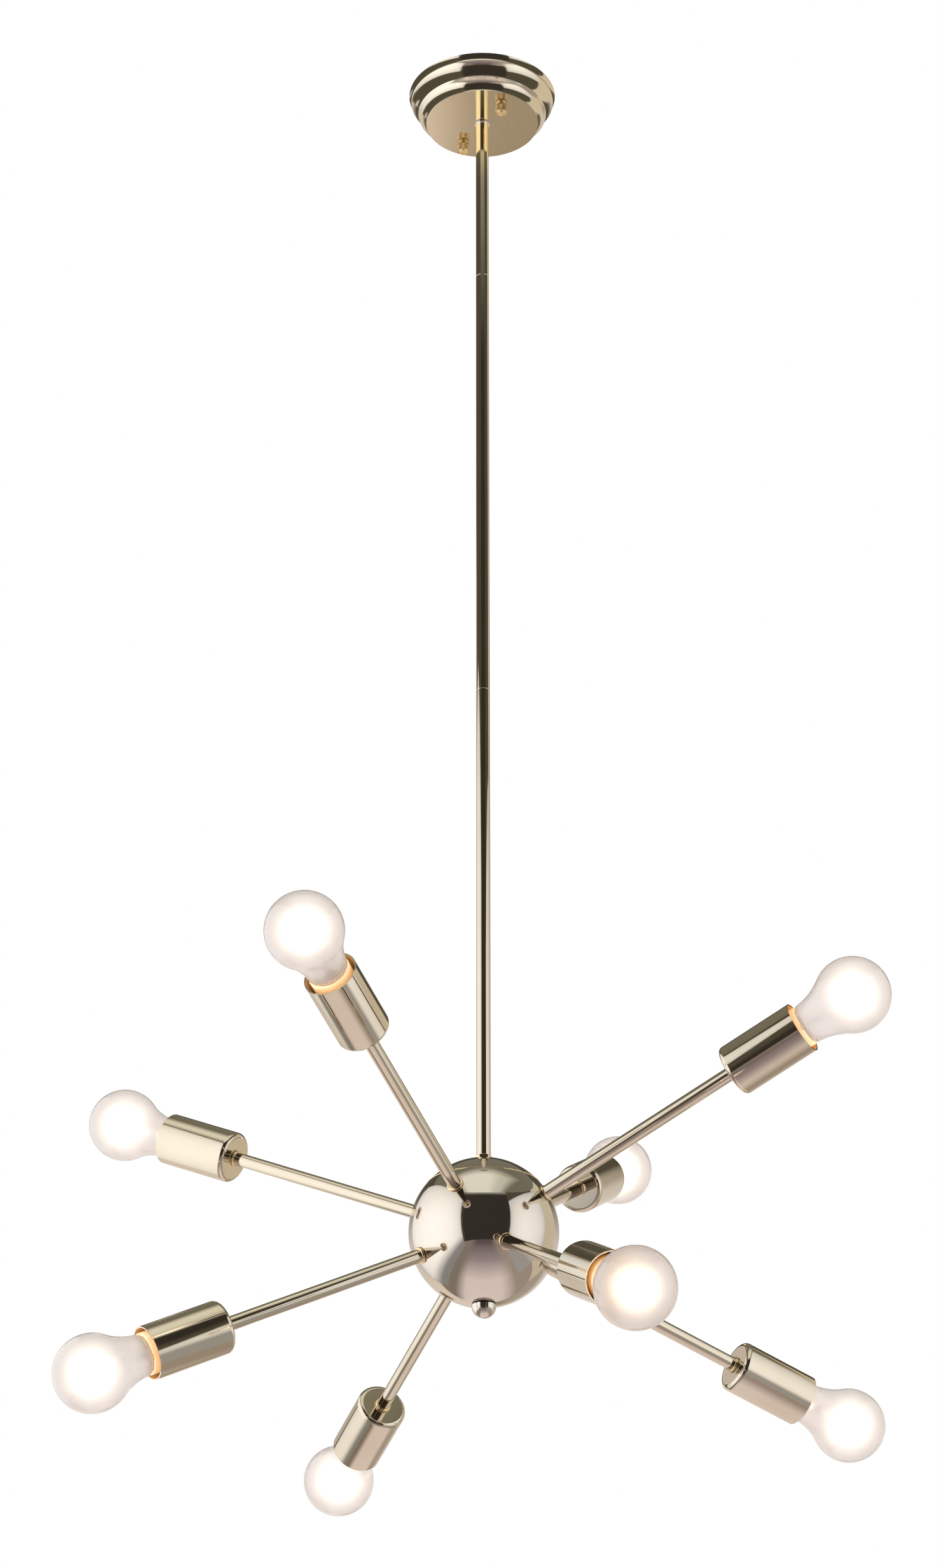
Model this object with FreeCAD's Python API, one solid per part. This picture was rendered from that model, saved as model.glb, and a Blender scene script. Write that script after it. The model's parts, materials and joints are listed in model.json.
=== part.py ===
"""Sputnik chandelier: a ceiling canopy, three screwed downrods and a hollow ball with eight lamp arms.

Millimetres. +Z is up and the origin is the centre of the ceiling face, so the lamp hangs below Z = 0.
Every piece of an arm is drawn along +Z, measured from the ball's centre, and then turned to its aim.
"""

import FreeCAD, Part
import math
import os

# ---------------------------------------------------------------- driving dimensions

# Threads are plain cylinders of the thread's outer size, and one tube thread joins the whole lamp.
TUBE_THREAD_R = 4.8
TUBE_THREAD_BORE_R = 3.4
THREAD_FIT = 0.1

HEX_NUT_FLATS = 14.0
HEX_NUT_H = 3.0

# Every tube end is held by the same threaded nipple.
NIPPLE_LENGTH = 30.0
NIPPLE_PAST_NUT = 2.7

# Beaded ring under the canopy, and the collars at both ends of every arm.
CANOPY_RING_R = 7.0
CANOPY_RING_H = 2.1
ARM_COLLAR_R = 6.8
ARM_COLLAR_H = 2.2

# Spun canopy: rim bead, ledge, large bulge, second ledge, rolled edge and flat plate.
CANOPY_DEPTH = 30.0
CANOPY_WALL = 1.0
CANOPY_RIM_R = 67.5
CANOPY_RIM_BEAD = (65.6, 6.4)
CANOPY_UPPER_LEDGE = (64.8, 7.0)
CANOPY_BULGE_END = (59.0, 19.4)
CANOPY_LOWER_LEDGE = (57.6, 20.2)
CANOPY_PLATE_R = 51.6
RIM_BEAD_BOW = 0.7
BULGE_BOW = 1.6
ROLLED_EDGE_BOW = 1.9

# Strap that is screwed to the ceiling box, with two studs that carry the canopy.
STRAP_LENGTH = 104.0
STRAP_WIDTH = 24.0
STRAP_T = 2.0
STRAP_AZIMUTH = -60.2
STRAP_CABLE_HOLE_R = 6.0
BOX_SCREW_PITCH = 88.9
BOX_SCREW_HOLE_R = 2.6
GROUND_SCREW_OFFSET = 18.0
GROUND_SCREW_R = 1.7
GROUND_SCREW_FLATS = 7.0
GROUND_SCREW_HEAD_H = 2.6

STUD_PITCH = 69.85
STUD_R = 2.0
STUD_BELOW_PLATE = 6.5
STUD_HOLE_CLEARANCE = 0.4
STUD_NUT_FLATS = 7.0
STUD_NUT_H = 3.0

# Knurled cap nuts that hold the canopy up.
CAP_NUT_R = 5.25
CAP_NUT_LENGTH = 10.6
CAP_NUT_LIP_H = 1.8
CAP_NUT_GROOVE_H = 1.0
CAP_NUT_GROOVE_DEPTH = 0.6
CAP_NUT_BEVEL_H = 1.5
CAP_NUT_BEVEL_IN = 1.4
CAP_NUT_KNURLS = 30
CAP_NUT_KNURL_DEPTH = 0.25
CAP_NUT_BORE_DEPTH = 8.0

# Downrods, one short and two long.
ROD_R = 5.75
ROD_TOP_LENGTH = 166.0
ROD_LONG_LENGTH = 419.0
ROD_END_CHAMFER = 0.25

# Ball: a lower shell and a top cap with a lip, clamped by a stem between a nut and a finial.
BALL_R = 60.0
BALL_WALL = 1.2
BALL_SEAM_LATITUDE = 41.0
CAP_LIP_DOWN = 3.0
CAP_LIP_UP = 2.0
CAP_LIP_WALL = 1.2
CAP_LIP_CLEARANCE = 0.25
NECK_NUT_FLATS = 11.6
NECK_NUT_H = 4.2
NECK_NUT_CHAMFER = 0.6
FINIAL_R = 9.9
FINIAL_RIM_H = 0.8
FINIAL_DOME_H = 9.7
FINIAL_THREAD_DEPTH = 6.0
STEM_IN_ROD = 12.0

# Arms, anticlockwise from +X seen from above: an even layout, alternately down and up,
# and how far each arm is set off it, as (azimuth, elevation) in degrees.
ARM_COUNT = 8
ARM_FIRST_AZIMUTH = 22.5
ARM_LIFT = 22.5
ARM_SET = (
    (3.9, 3.3),
    (0.3, 3.4),
    (-0.6, 2.4),
    (0.1, 0.0),
    (1.4, -2.9),
    (-1.4, -0.3),
    (-3.6, -1.0),
    (-6.1, 1.0),
)
ARM_R = 5.5
ARM_LENGTH = 176.3

# Spun cups.
CUP_R = 21.0
CUP_LENGTH = 66.0
CUP_WALL = 1.0
CUP_REAR_ROUND = 4.0

# Ceramic lampholder, which stands a little proud of the cup, with its screw shell and contact leaf.
LAMPHOLDER_R = 16.5
LAMPHOLDER_PROUD = 2.5
LAMPHOLDER_RIM_ROUND = 0.6
LAMPHOLDER_LEAD_IN = 0.8
LAMPHOLDER_NOTCHES = 4
LAMPHOLDER_NOTCH_WIDTH = 5.0
LAMPHOLDER_NOTCH_DEPTH = 0.8
LAMPHOLDER_FLOOR_T = 6.0
LAMPHOLDER_FLARE_H = 4.0
LAMPHOLDER_NECK_R = 10.0
LAMPHOLDER_THREAD_DEPTH = 10.0
LAMPHOLDER_WIREWAY_R = 3.0
SCREW_SHELL_WALL = 0.4
SCREW_SHELL_LENGTH = 22.0
SCREW_SHELL_BELOW_RIM = 3.0
LEAF_H = 4.3
LEAF_HALF_SPAN = 7.5
LEAF_WIDTH = 7.0
LEAF_T = 0.5

# Pear-shaped bulb with a 26 mm Edison screw base.
BULB_R = 30.0
BULB_GLASS_LENGTH = 74.3
BULB_WAIST = 46.0
BULB_WAIST_R = 16.1
BULB_FOOT_ROUND = 2.6
BULB_GLASS_T = 0.9
BULB_GLASS_LIP = 1.2
BULB_GLASS_GAP = 0.3
BASE_R = 13.1
BASE_LENGTH = 29.7
BASE_BARREL_LENGTH = 24.0
BASE_WALL = 0.5
BASE_TIP_R = 4.6
BASE_BUTTON_H = 1.5
BASE_CLEARANCE = 0.4
BASE_TO_LEAF = 0.3

# ---------------------------------------------------------------- places worked out from them

TUBE_HOLE_R = TUBE_THREAD_R + THREAD_FIT
UP = FreeCAD.Vector(0, 0, 1)

PLATE_UNDER = -CANOPY_DEPTH
PLATE_TOP = PLATE_UNDER + CANOPY_WALL
ROD_HEAD = PLATE_UNDER - CANOPY_RING_H
JOINT_1 = ROD_HEAD - ROD_TOP_LENGTH
JOINT_2 = JOINT_1 - ROD_LONG_LENGTH
ROD_FOOT = JOINT_2 - ROD_LONG_LENGTH
NECK_NUT_FOOT = ROD_FOOT - NECK_NUT_H
SEAT_TO_CENTRE = math.sqrt(BALL_R ** 2 - TUBE_HOLE_R ** 2)
BALL_Z = NECK_NUT_FOOT - SEAT_TO_CENTRE
FINIAL_TOP = BALL_Z - SEAT_TO_CENTRE
BALL_INNER_R = BALL_R - BALL_WALL
INNER_NUT_TO_CENTRE = math.sqrt(BALL_INNER_R ** 2 - HEX_NUT_FLATS ** 2 / 3)

ARM_START = SEAT_TO_CENTRE + ARM_COLLAR_H
ARM_END = ARM_START + ARM_LENGTH
CUP_REAR = ARM_END + ARM_COLLAR_H
CUP_MOUTH = CUP_REAR + CUP_LENGTH
LAMPHOLDER_FOOT = CUP_REAR + CUP_WALL + HEX_NUT_H
LAMPHOLDER_RIM = CUP_MOUTH + LAMPHOLDER_PROUD
BASE_HEAD = LAMPHOLDER_RIM + BULB_GLASS_GAP
BASE_FOOT = BASE_HEAD - BASE_LENGTH
LAMPHOLDER_FLOOR = BASE_FOOT - BASE_TO_LEAF - LEAF_H
SCREW_SHELL_BORE_R = BASE_R + BASE_CLEARANCE
SCREW_SHELL_R = SCREW_SHELL_BORE_R + SCREW_SHELL_WALL
BULB_CENTRE = BASE_HEAD + BULB_GLASS_LENGTH - BULB_R


# ---------------------------------------------------------------- small tools


def at(r, z):
    """A point of a turned profile."""
    return FreeCAD.Vector(r, 0, z)


def line(start, end):
    return Part.LineSegment(start, end).toShape()


def arc(start, middle, end):
    return Part.Arc(start, middle, end).toShape()


def bowed(start, end, bow):
    """An arc between two profile points that stands out to the left of its direction by bow."""
    chord = end - start
    side = FreeCAD.Vector(-chord.z, 0, chord.x)
    side.normalize()
    return arc(start, (start + end) * 0.5 + side * bow, end)


def ring_point(centre, radius, degrees):
    """The point of a circle in the profile plane, with its angle counted from outward to up."""
    angle = math.radians(degrees)
    return centre + at(radius * math.cos(angle), radius * math.sin(angle))


def ring_arc(centre, radius, start, end):
    """An arc of a circle in the profile plane, from one angle to another."""
    return arc(
        ring_point(centre, radius, start),
        ring_point(centre, radius, (start + end) / 2),
        ring_point(centre, radius, end),
    )


def outline(points):
    """The straight edges that join profile points."""
    return [line(points[i], points[i + 1]) for i in range(len(points) - 1)]


def turned(edges):
    """The solid turned from a closed profile about the Z axis."""
    return Part.Face(Part.Wire(Part.__sortEdges__(edges))).revolve(FreeCAD.Vector(), UP, 360)


def turned_points(points):
    """The solid turned from a closed profile of straight lines."""
    return turned(outline(points + [points[0]]))


def rod(radius, low, high):
    return Part.makeCylinder(radius, high - low, at(0, low))


def tube(outer, inner, low, high):
    return rod(outer, low, high).cut(rod(inner, low, high))


def prism(flats, low, high):
    """A hexagonal prism across its flats."""
    corner = flats / math.sqrt(3)
    ring = [FreeCAD.Vector(corner, 0, low)]
    for i in range(1, 7):
        turn = math.radians(60 * i)
        ring.append(FreeCAD.Vector(corner * math.cos(turn), corner * math.sin(turn), low))
    return Part.Face(Part.makePolygon(ring)).extrude(at(0, high - low))


def hex_nut(low):
    """The lamp's hexagonal nut, with its lower face at low."""
    high = low + HEX_NUT_H
    return prism(HEX_NUT_FLATS, low, high).cut(rod(TUBE_HOLE_R, low, high))


def beaded_ring(radius, low, high):
    """A ring with a half-round edge, for a tube's end and its neighbour to sit on."""
    half = (high - low) / 2
    core = radius - half
    edges = outline([at(core, high), at(TUBE_HOLE_R, high), at(TUBE_HOLE_R, low), at(core, low)])
    edges.append(ring_arc(at(core, low + half), half, -90, 90))
    return turned(edges)


def nipple(low):
    """The lamp's threaded nipple, with its lower end at low."""
    return tube(TUBE_THREAD_R, TUBE_THREAD_BORE_R, low, low + NIPPLE_LENGTH)


# ---------------------------------------------------------------- ceiling fixing


def on_strap(shape, offset):
    """Moves a shape drawn on the Z axis to a place along the strap."""
    angle = math.radians(STRAP_AZIMUTH)
    moved = shape.copy()
    moved.translate(FreeCAD.Vector(offset * math.cos(angle), offset * math.sin(angle), 0))
    return moved


def at_studs(shape):
    """The two copies of a shape, one at each stud."""
    return [on_strap(shape, side * STUD_PITCH / 2) for side in (1, -1)]


def mounting_strap():
    corner = FreeCAD.Vector(-STRAP_LENGTH / 2, -STRAP_WIDTH / 2, -STRAP_T)
    strap = Part.makeBox(STRAP_LENGTH, STRAP_WIDTH, STRAP_T, corner)
    upright = [edge for edge in strap.Edges if abs(edge.tangentAt(edge.FirstParameter).z) > 0.5]
    strap = strap.makeFillet(STRAP_WIDTH / 4, upright)
    strap.rotate(FreeCAD.Vector(), UP, STRAP_AZIMUTH)
    drills = [rod(STRAP_CABLE_HOLE_R, -STRAP_T, 0)]
    drills += at_studs(rod(STUD_R + THREAD_FIT, -STRAP_T, 0))
    drills += [on_strap(rod(BOX_SCREW_HOLE_R, -STRAP_T, 0), side * BOX_SCREW_PITCH / 2) for side in (1, -1)]
    drills.append(on_strap(rod(GROUND_SCREW_R + THREAD_FIT, -STRAP_T, 0), GROUND_SCREW_OFFSET))
    return strap.cut(drills)


def ground_screw():
    head = prism(GROUND_SCREW_FLATS, -STRAP_T - GROUND_SCREW_HEAD_H, -STRAP_T)
    return on_strap(head.fuse(rod(GROUND_SCREW_R, -STRAP_T, 0)), GROUND_SCREW_OFFSET)


def studs():
    return at_studs(rod(STUD_R, PLATE_UNDER - STUD_BELOW_PLATE, 0))


def stud_nuts():
    low = -STRAP_T - STUD_NUT_H
    nut = prism(STUD_NUT_FLATS, low, -STRAP_T).cut(rod(STUD_R + THREAD_FIT, low, -STRAP_T))
    return at_studs(nut)


def canopy_skin(inset):
    """The turned outside of the canopy, moved in and up by the inset."""

    def point(r, depth):
        return at(r - inset, inset - depth)

    rim = point(CANOPY_RIM_R, 0)
    bead = point(*CANOPY_RIM_BEAD)
    upper = point(*CANOPY_UPPER_LEDGE)
    bulge = point(*CANOPY_BULGE_END)
    lower = point(*CANOPY_LOWER_LEDGE)
    plate = point(CANOPY_PLATE_R, CANOPY_DEPTH)
    edges = [
        bowed(rim, bead, -RIM_BEAD_BOW),
        line(bead, upper),
        bowed(upper, bulge, -BULGE_BOW),
        line(bulge, lower),
        bowed(lower, plate, -ROLLED_EDGE_BOW),
    ]
    edges += outline([plate, at(0, plate.z), at(0, rim.z), rim])
    return turned(edges)


def canopy():
    shell = canopy_skin(0).cut(canopy_skin(CANOPY_WALL))
    drills = [rod(TUBE_HOLE_R, PLATE_UNDER, PLATE_TOP)]
    drills += at_studs(rod(STUD_R + STUD_HOLE_CLEARANCE, PLATE_UNDER, PLATE_TOP))
    return shell.cut(drills)


def knurled(radius, low, high):
    """A fluted prism, the cap nut's knurled grip."""
    ring = []
    for i in range(2 * CAP_NUT_KNURLS + 1):
        reach = radius - (i % 2) * CAP_NUT_KNURL_DEPTH
        turn = math.pi * i / CAP_NUT_KNURLS
        ring.append(FreeCAD.Vector(reach * math.cos(turn), reach * math.sin(turn), low))
    return Part.Face(Part.makePolygon(ring)).extrude(at(0, high - low))


def cap_nut():
    """A cap nut that hangs from the canopy's plate, drawn on the Z axis."""
    lip = PLATE_UNDER - CAP_NUT_LIP_H
    groove = lip - CAP_NUT_GROOVE_H
    foot = PLATE_UNDER - CAP_NUT_LENGTH
    grip_foot = foot + CAP_NUT_BEVEL_H
    shoulder = CAP_NUT_R - CAP_NUT_KNURL_DEPTH
    nut = knurled(CAP_NUT_R, grip_foot, groove)
    nut = nut.fuse(
        [
            rod(shoulder, lip, PLATE_UNDER),
            rod(shoulder - CAP_NUT_GROOVE_DEPTH, groove, lip),
            Part.makeCone(shoulder - CAP_NUT_BEVEL_IN, shoulder, CAP_NUT_BEVEL_H, at(0, foot)),
        ]
    )
    return nut.cut(rod(STUD_R + THREAD_FIT, PLATE_UNDER - CAP_NUT_BORE_DEPTH, PLATE_UNDER))


# ---------------------------------------------------------------- downrods


def downrod(low, high):
    """A tube whose two ends are chamfered, so that a screwed joint shows as a fine groove."""
    edge = ROD_R - ROD_END_CHAMFER
    return turned_points(
        [
            at(TUBE_HOLE_R, low),
            at(edge, low),
            at(ROD_R, low + ROD_END_CHAMFER),
            at(ROD_R, high - ROD_END_CHAMFER),
            at(edge, high),
            at(TUBE_HOLE_R, high),
        ]
    )


def canopy_ring():
    return beaded_ring(CANOPY_RING_R, ROD_HEAD, PLATE_UNDER)


def rod_nipples():
    """The nipple that hangs the top rod from the canopy, and the two between rods."""
    in_canopy = PLATE_TOP + HEX_NUT_H + NIPPLE_PAST_NUT
    between = [nipple(joint - NIPPLE_LENGTH / 2) for joint in (JOINT_1, JOINT_2)]
    return [nipple(in_canopy - NIPPLE_LENGTH)] + between


# ---------------------------------------------------------------- ball


def hole_latitude(radius):
    """The latitude at which a sphere of this radius meets the stem's hole."""
    return math.degrees(math.acos(TUBE_HOLE_R / radius))


def seam_latitude(radius):
    """The latitude at which a sphere of this radius meets the level of the seam."""
    return math.degrees(math.asin(BALL_R * math.sin(math.radians(BALL_SEAM_LATITUDE)) / radius))


def ball_zone(low, high):
    """A part of the hollow ball, cut at the latitudes that low and high give for a radius."""
    centre = at(0, BALL_Z)
    edges = [ring_arc(centre, radius, low(radius), high(radius)) for radius in (BALL_R, BALL_INNER_R)]
    for end in (low, high):
        outer = ring_point(centre, BALL_R, end(BALL_R))
        edges.append(line(outer, ring_point(centre, BALL_INNER_R, end(BALL_INNER_R))))
    return turned(edges)


def ball_cap():
    seam = BALL_R * math.sin(math.radians(BALL_SEAM_LATITUDE))
    shell_mouth_r = math.sqrt(BALL_INNER_R ** 2 - seam ** 2)
    lip_r = shell_mouth_r - CAP_LIP_CLEARANCE
    lip = tube(lip_r, lip_r - CAP_LIP_WALL, BALL_Z + seam - CAP_LIP_DOWN, BALL_Z + seam + CAP_LIP_UP)
    return ball_zone(seam_latitude, hole_latitude).fuse(lip)


def ball_shell():
    drills = [aimed(rod(TUBE_HOLE_R, BALL_R / 2, BALL_R), i) for i in range(ARM_COUNT)]
    return ball_zone(lambda radius: -hole_latitude(radius), seam_latitude).cut(drills)


def neck_nut():
    high = ROD_FOOT
    corner = NECK_NUT_FLATS / math.sqrt(3)
    blank = turned_points(
        [
            at(0, NECK_NUT_FOOT),
            at(corner, NECK_NUT_FOOT),
            at(corner, high - NECK_NUT_CHAMFER / 2),
            at(corner - NECK_NUT_CHAMFER, high),
            at(0, high),
        ]
    )
    nut = prism(NECK_NUT_FLATS, NECK_NUT_FOOT, high).common(blank)
    return nut.cut(rod(TUBE_HOLE_R, NECK_NUT_FOOT, high))


def centre_stem():
    return tube(TUBE_THREAD_R, TUBE_THREAD_BORE_R, FINIAL_TOP - FINIAL_THREAD_DEPTH, ROD_FOOT + STEM_IN_ROD)


def finial():
    """A domed cap nut that closes the bottom of the ball."""
    rim = FINIAL_TOP - FINIAL_RIM_H
    foot = rim - FINIAL_DOME_H
    dome_r = (FINIAL_R ** 2 + FINIAL_DOME_H ** 2) / (2 * FINIAL_DOME_H)
    dome_top = -math.degrees(math.acos(FINIAL_R / dome_r))
    edges = [ring_arc(at(0, foot + dome_r), dome_r, -90, dome_top)]
    edges += outline([at(FINIAL_R, rim), at(FINIAL_R, FINIAL_TOP), at(0, FINIAL_TOP), at(0, foot)])
    return turned(edges).cut(rod(TUBE_HOLE_R, FINIAL_TOP - FINIAL_THREAD_DEPTH, FINIAL_TOP))


# ---------------------------------------------------------------- arms


def aim(index):
    """An arm's direction."""
    off_azimuth, off_elevation = ARM_SET[index]
    lift = ARM_LIFT if index % 2 else -ARM_LIFT
    azimuth = math.radians(ARM_FIRST_AZIMUTH + index * 360 / ARM_COUNT + off_azimuth)
    elevation = math.radians(lift + off_elevation)
    level = math.cos(elevation)
    return FreeCAD.Vector(level * math.cos(azimuth), level * math.sin(azimuth), math.sin(elevation))


def aimed(shape, index):
    """Turns a shape drawn along +Z from the ball's centre to an arm's aim."""
    moved = shape.copy()
    moved.Placement = FreeCAD.Placement(at(0, BALL_Z), FreeCAD.Rotation(UP, aim(index)))
    return moved


def on_arms(shape):
    """The copies of a shape, one on each arm."""
    return [aimed(shape, i) for i in range(ARM_COUNT)]


def arm_nipples():
    """One nipple through the ball's wall and one through the cup's rear wall, on every arm."""
    inner = nipple(INNER_NUT_TO_CENTRE - HEX_NUT_H - NIPPLE_PAST_NUT)
    outer = nipple(LAMPHOLDER_FOOT + LAMPHOLDER_THREAD_DEPTH - NIPPLE_LENGTH)
    return on_arms(inner) + on_arms(outer)


def hex_nuts():
    """The nuts in the canopy, in the ball on the stem, and at both ends of every arm."""
    nuts = [hex_nut(PLATE_TOP)]
    nuts.append(hex_nut(BALL_Z + INNER_NUT_TO_CENTRE - HEX_NUT_H))
    nuts.append(hex_nut(BALL_Z - INNER_NUT_TO_CENTRE))
    nuts += on_arms(hex_nut(INNER_NUT_TO_CENTRE - HEX_NUT_H))
    nuts += on_arms(hex_nut(CUP_REAR + CUP_WALL))
    return nuts


def arm_collars():
    inner = beaded_ring(ARM_COLLAR_R, SEAT_TO_CENTRE, ARM_START)
    outer = beaded_ring(ARM_COLLAR_R, ARM_END, CUP_REAR)
    return on_arms(inner) + on_arms(outer)


def cup():
    """A spun cup with a rounded rear edge and an open mouth."""
    outer_round = at(CUP_R - CUP_REAR_ROUND, CUP_REAR + CUP_REAR_ROUND)
    inner_r = CUP_R - CUP_WALL
    inner_rear = CUP_REAR + CUP_WALL
    edges = [
        ring_arc(outer_round, CUP_REAR_ROUND, -90, 0),
        ring_arc(outer_round, CUP_REAR_ROUND - CUP_WALL, -90, 0),
    ]
    turn = outer_round.z
    edges += outline([at(CUP_R, turn), at(CUP_R, CUP_MOUTH), at(inner_r, CUP_MOUTH), at(inner_r, turn)])
    rear = [at(TUBE_HOLE_R, CUP_REAR), at(TUBE_HOLE_R, inner_rear)]
    edges += outline([at(outer_round.x, CUP_REAR)] + rear + [at(outer_round.x, inner_rear)])
    return turned(edges)


def lampholder():
    """A moulded holder: a narrow threaded neck, a flared body and the bore of the screw shell."""
    body_foot = LAMPHOLDER_FLOOR - LAMPHOLDER_FLOOR_T
    thread_top = LAMPHOLDER_FOOT + LAMPHOLDER_THREAD_DEPTH
    bore_r = SCREW_SHELL_R + THREAD_FIT
    rounding = at(LAMPHOLDER_R - LAMPHOLDER_RIM_ROUND, LAMPHOLDER_RIM - LAMPHOLDER_RIM_ROUND)
    edges = outline(
        [
            at(rounding.x, LAMPHOLDER_RIM),
            at(bore_r + LAMPHOLDER_LEAD_IN, LAMPHOLDER_RIM),
            at(bore_r, LAMPHOLDER_RIM - LAMPHOLDER_LEAD_IN),
            at(bore_r, LAMPHOLDER_FLOOR),
            at(LAMPHOLDER_WIREWAY_R, LAMPHOLDER_FLOOR),
            at(LAMPHOLDER_WIREWAY_R, thread_top),
            at(TUBE_HOLE_R, thread_top),
            at(TUBE_HOLE_R, LAMPHOLDER_FOOT),
            at(LAMPHOLDER_NECK_R, LAMPHOLDER_FOOT),
            at(LAMPHOLDER_NECK_R, body_foot - LAMPHOLDER_FLARE_H),
            at(LAMPHOLDER_R, body_foot),
            at(LAMPHOLDER_R, rounding.z),
        ]
    )
    edges.append(ring_arc(rounding, LAMPHOLDER_RIM_ROUND, 0, 90))
    return turned(edges).cut(rim_notches())


def rim_notches():
    """The shallow notches across the lampholder's rim."""
    corner = FreeCAD.Vector(0, -LAMPHOLDER_NOTCH_WIDTH / 2, LAMPHOLDER_RIM - LAMPHOLDER_NOTCH_DEPTH)
    notch = Part.makeBox(LAMPHOLDER_R + 1, LAMPHOLDER_NOTCH_WIDTH, LAMPHOLDER_NOTCH_DEPTH + 1, corner)
    notches = []
    for i in range(LAMPHOLDER_NOTCHES):
        copy = notch.copy()
        copy.rotate(FreeCAD.Vector(), UP, 360 * i / LAMPHOLDER_NOTCHES)
        notches.append(copy)
    return notches


def contact_leaf():
    """The arched spring leaf that the bulb's tip presses on."""

    def arch(half_span, height):
        foot = LAMPHOLDER_FLOOR
        return arc(at(-half_span, foot), at(0, foot + height), at(half_span, foot))

    inner_half = LEAF_HALF_SPAN - LEAF_T
    edges = [arch(LEAF_HALF_SPAN, LEAF_H), arch(inner_half, LEAF_H - LEAF_T)]
    for side in (1, -1):
        outer_foot = at(side * LEAF_HALF_SPAN, LAMPHOLDER_FLOOR)
        edges.append(line(outer_foot, at(side * inner_half, LAMPHOLDER_FLOOR)))
    face = Part.Face(Part.Wire(Part.__sortEdges__(edges)))
    face.translate(FreeCAD.Vector(0, -LEAF_WIDTH / 2, 0))
    return face.extrude(FreeCAD.Vector(0, LEAF_WIDTH, 0))


def lampholder_contacts():
    top = LAMPHOLDER_RIM - SCREW_SHELL_BELOW_RIM
    screw_shell = tube(SCREW_SHELL_R, SCREW_SHELL_BORE_R, top - SCREW_SHELL_LENGTH, top)
    return on_arms(screw_shell) + on_arms(contact_leaf())


# ---------------------------------------------------------------- bulbs


def bulb_skin(inset):
    """The arcs of the bulb's skin from its tip to its foot, moved in by the inset, and their two ends."""
    crown = at(0, BULB_CENTRE)
    waist_r = (BULB_WAIST ** 2 / (BULB_R - BULB_WAIST_R) - BULB_R - BULB_WAIST_R) / 2
    waist = at(BULB_WAIST_R + waist_r, BULB_CENTRE - BULB_WAIST)
    join = math.degrees(math.atan2(-BULB_WAIST, waist.x))
    drop = math.asin((waist.z - BASE_HEAD - BULB_FOOT_ROUND) / (waist_r + BULB_FOOT_ROUND))
    foot = waist - at(math.cos(drop), math.sin(drop)) * (waist_r + BULB_FOOT_ROUND)
    turn = math.degrees(drop)
    edges = [
        ring_arc(crown, BULB_R - inset, 90, join),
        ring_arc(waist, waist_r + inset, 180 + join, 180 + turn),
        ring_arc(foot, BULB_FOOT_ROUND - inset, turn, -90),
    ]
    return edges, at(0, BULB_CENTRE + BULB_R - inset), at(foot.x, BASE_HEAD + inset)


def bulb_glass():
    outer, outer_tip, outer_foot = bulb_skin(0)
    inner, inner_tip, inner_foot = bulb_skin(BULB_GLASS_T)
    lip = outer_foot.x - BULB_GLASS_LIP
    foot = outline([outer_foot, at(lip, outer_foot.z), at(lip, inner_foot.z), inner_foot])
    return turned(outer + inner + foot + [line(outer_tip, inner_tip)])


def bulb_base():
    """The screw base: a thin barrel, an insulating cone and a contact button."""
    barrel_foot = BASE_HEAD - BASE_BARREL_LENGTH
    button = BASE_FOOT + BASE_BUTTON_H
    inner_r = BASE_R - BASE_WALL
    return turned_points(
        [
            at(inner_r, BASE_HEAD),
            at(BASE_R, BASE_HEAD),
            at(BASE_R, barrel_foot),
            at(BASE_TIP_R, button),
            at(BASE_TIP_R, BASE_FOOT),
            at(0, BASE_FOOT),
            at(0, button + BASE_WALL),
            at(BASE_TIP_R, button + BASE_WALL),
            at(inner_r, barrel_foot + BASE_WALL),
        ]
    )


# ---------------------------------------------------------------- the nodes


def save(name, shapes):
    """Writes one node, which is one solid or a list of separate solids."""
    if isinstance(shapes, list):
        shapes = Part.makeCompound(shapes)
    shapes.exportStep(os.path.join("parts", name + ".step"))


def save_ceiling():
    save("mounting_strap", mounting_strap())
    save("ground_screw", ground_screw())
    save("canopy_studs", studs())
    save("stud_nuts", stud_nuts())
    save("canopy", canopy())
    for number, nut in enumerate(at_studs(cap_nut()), 1):
        save("cap_nut_%d" % number, nut)


def save_rods_and_ball():
    save("rod_top", downrod(JOINT_1, ROD_HEAD))
    save("rod_middle", downrod(JOINT_2, JOINT_1))
    save("rod_lower", downrod(ROD_FOOT, JOINT_2))
    save("canopy_ring", canopy_ring())
    save("ball_neck_nut", neck_nut())
    save("ball_cap", ball_cap())
    save("ball_shell", ball_shell())
    save("centre_stem", centre_stem())
    save("finial", finial())
    save("hex_nuts", hex_nuts())
    save("threaded_nipples", rod_nipples() + arm_nipples())


def save_arms():
    save("arm_collars", arm_collars())
    save("lampholder_contacts", lampholder_contacts())
    pieces = {
        "arm": tube(ARM_R, TUBE_HOLE_R, ARM_START, ARM_END),
        "cup": cup(),
        "lampholder": lampholder(),
        "bulb_glass": bulb_glass(),
        "bulb_base": bulb_base(),
    }
    for name, shape in pieces.items():
        for i in range(ARM_COUNT):
            save("%s_%d" % (name, i + 1), aimed(shape, i))


os.makedirs("parts", exist_ok=True)
save_ceiling()
save_rods_and_ball()
save_arms()
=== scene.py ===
"""Looks for the sputnik chandelier: polished pale gold metal, cream lampholders and lit frosted bulbs.

Metres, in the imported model's frame: +Z is up and the lamp hangs below its ceiling face at Z = 0.
"""

import json
import math

import bpy
from mathutils import Matrix, Vector

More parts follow.
